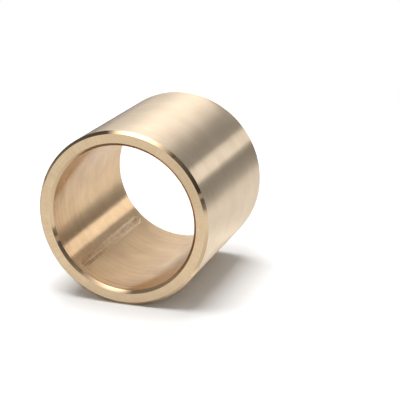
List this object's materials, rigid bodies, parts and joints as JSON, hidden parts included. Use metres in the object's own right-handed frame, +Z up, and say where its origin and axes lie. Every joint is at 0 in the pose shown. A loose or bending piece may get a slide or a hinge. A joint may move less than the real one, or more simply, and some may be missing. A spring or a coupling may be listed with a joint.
{
  "type": "plain bushing",
  "caption": "Plain bronze sleeve bushing with chamfered ends and a blind lubrication groove along its bore.",
  "frame": {"origin": "middle of the lower end face, on the bore axis", "axes": "+Z up along the bore axis, from the lower end to the upper end; +Y points at the lubrication groove"},
  "size_m": [0.06, 0.06, 0.06],
  "materials": {
    "bronze": "satin, fine turned"
  },
  "bodies": {
    "root": {"bushing": "bronze"}
  },
  "joints": []
}
